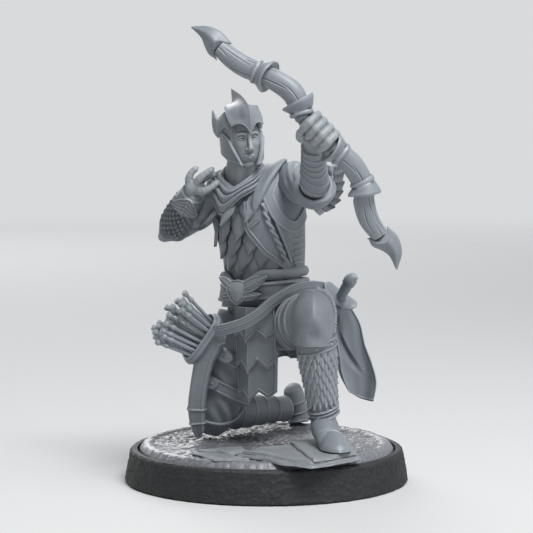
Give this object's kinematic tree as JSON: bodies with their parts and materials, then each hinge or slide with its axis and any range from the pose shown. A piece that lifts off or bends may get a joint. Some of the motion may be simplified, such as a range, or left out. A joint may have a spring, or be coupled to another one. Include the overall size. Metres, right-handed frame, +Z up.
{
  "type": "kneeling archer gaming miniature",
  "caption": "Resin kit miniature of a kneeling armoured archer with bow, quiver and sword, on a round gaming base with a slate outcrop.",
  "frame": {"origin": "centre of the base's underside", "axes": "+Z up, -Y towards the viewer of the picture, +X to that viewer's right, which is the archer's left"},
  "size_m": [0.025, 0.0266, 0.0394],
  "materials": {
    "grey_resin": "satin cast resin, unpainted",
    "base_resin": "dark stippled resin",
    "ground_resin": "glossy rough ground texture",
    "slate_resin": "satin layered slate texture"
  },
  "bodies": {
    "root": {"arrow_bundle": "grey_resin", "base_puck": "base_resin", "belt": "grey_resin", "belt_buckle": "grey_resin", "belt_roll": "grey_resin", "bow_collar_lower_inner": "grey_resin", "bow_collar_lower_outer": "grey_resin", "bow_collar_upper_inner": "grey_resin", "bow_collar_upper_outer": "grey_resin", "bow_grip": "grey_resin", "bow_lower_limb": "grey_resin", "bow_lower_nock": "grey_resin", "bow_upper_limb": "grey_resin", "bow_upper_nock": "grey_resin", "coat_tail": "grey_resin", "cowl_inner": "grey_resin", "cowl_outer": "grey_resin", "ground_disc": "ground_resin", "head": "grey_resin", "helmet": "grey_resin", "helmet_crest": "grey_resin", "left_ankle_band": "grey_resin", "left_arm_guard": "grey_resin", "left_boot": "grey_resin", "left_cheek_guard": "grey_resin", "left_forearm": "grey_resin", "left_greave": "grey_resin", "left_hand": "grey_resin", "left_knee_cop": "grey_resin", "left_knee_strap": "grey_resin", "left_sleeve_cuff": "grey_resin", "left_thigh": "grey_resin", "left_toe_plate": "grey_resin", "left_upper_arm": "grey_resin", "pelvis": "grey_resin", "quiver_body": "grey_resin", "quiver_rim": "grey_resin", "rear_skirt": "grey_resin", "right_boot": "grey_resin", "right_cheek_guard": "grey_resin", "right_cuff": "grey_resin", "right_hand": "grey_resin", "right_shin": "grey_resin", "right_thigh": "grey_resin", "right_upper_arm": "grey_resin", "right_vambrace": "grey_resin", "sash": "grey_resin", "scabbard": "grey_resin", "slate_chip": "slate_resin", "slate_slab": "slate_resin", "surcoat": "grey_resin", "sword_grip": "grey_resin", "sword_guard": "grey_resin", "sword_pommel": "grey_resin", "tabard_hem": "grey_resin", "tabard_middle": "grey_resin", "tabard_top": "grey_resin", "thigh_strap_lower": "grey_resin", "thigh_strap_upper": "grey_resin", "torso": "grey_resin"}
  },
  "joints": []
}
